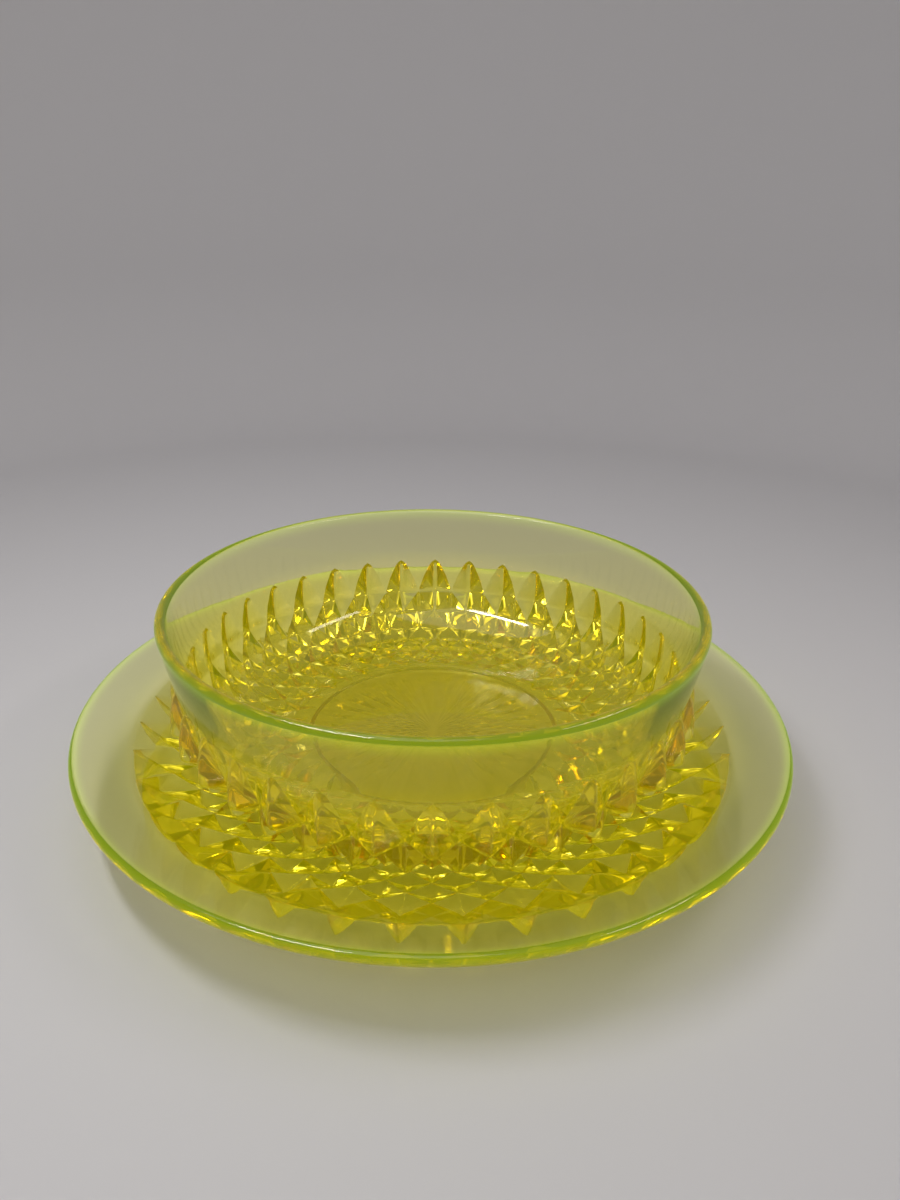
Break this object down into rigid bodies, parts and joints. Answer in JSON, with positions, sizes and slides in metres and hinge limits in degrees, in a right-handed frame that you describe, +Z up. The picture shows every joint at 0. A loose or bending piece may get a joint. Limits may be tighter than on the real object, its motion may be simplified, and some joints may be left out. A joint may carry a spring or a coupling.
{
  "type": "pressed glass dish set",
  "caption": "Round pressed glass bowl with a plain rim band, diamond points and a star base, resting in a matching flanged underplate, in yellow-green uranium glass.",
  "frame": {"origin": "centre of the underplate's foot, on the surface that the set stands on", "axes": "+Z up along the common axis of the bowl and the underplate; +Y away from the front"},
  "size_m": [0.168, 0.168, 0.047],
  "materials": {
    "uranium_glass": "fire-polished clear yellow-green pressed glass, faintly green at its rims"
  },
  "bodies": {
    "underplate": {"underplate": "uranium_glass"},
    "bowl": {"bowl": "uranium_glass"}
  },
  "joints": [
    {"name": "bowl_lift", "type": "slide", "parent": "underplate", "child": "bowl", "axis": [0, 0, 1], "range_m": [0, 0.08]}
  ]
}
